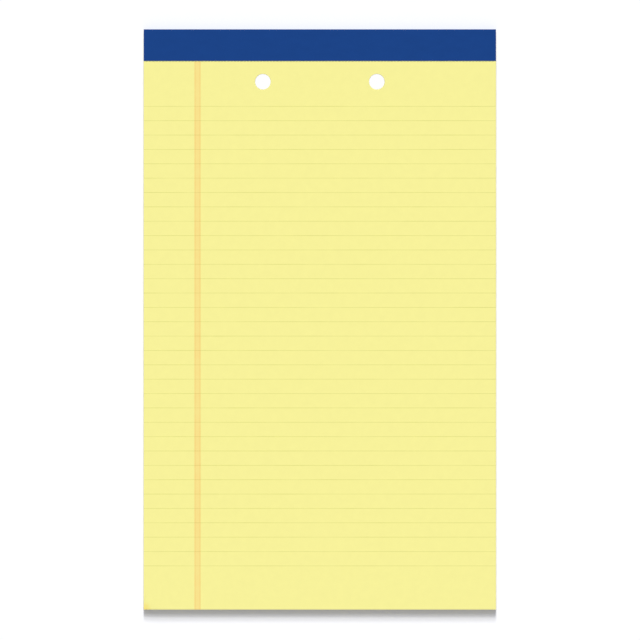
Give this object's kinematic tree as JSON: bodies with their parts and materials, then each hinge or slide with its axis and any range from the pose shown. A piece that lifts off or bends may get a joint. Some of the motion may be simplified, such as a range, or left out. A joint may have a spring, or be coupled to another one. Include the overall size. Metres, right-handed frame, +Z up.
{
  "type": "writing pad",
  "caption": "Legal-size ruled writing pad: a stitched block of yellow sheets on a chipboard back, with a blue binding strip, a tear line and punched holes.",
  "frame": {"origin": "middle of the pad's underside, on the surface that it lies on", "axes": "+X to the right across the sheet, +Y along the sheet to the bound head, +Z up out of the written face"},
  "size_m": [0.216, 0.3556, 0.0052],
  "materials": {
    "chipboard": "matt, short fibres and flecks of recycled pulp",
    "sheet_paper": "matt, uncoated",
    "staple_wire": "bright galvanised wire",
    "binding_paper": "satin, dyed and lightly grained",
    "rule_ink": "matt, thin ink soaked into the sheet",
    "margin_ink": "matt, thin ink soaked into the sheet",
    "tint_ink": "matt, pale tint soaked into the sheet"
  },
  "bodies": {
    "root": {"backboard": "chipboard", "sheet_block": "sheet_paper", "staples": "staple_wire", "binding_strip": "binding_paper", "ruled_lines": "rule_ink", "margin_lines": "margin_ink", "margin_tint": "tint_ink"}
  },
  "joints": []
}
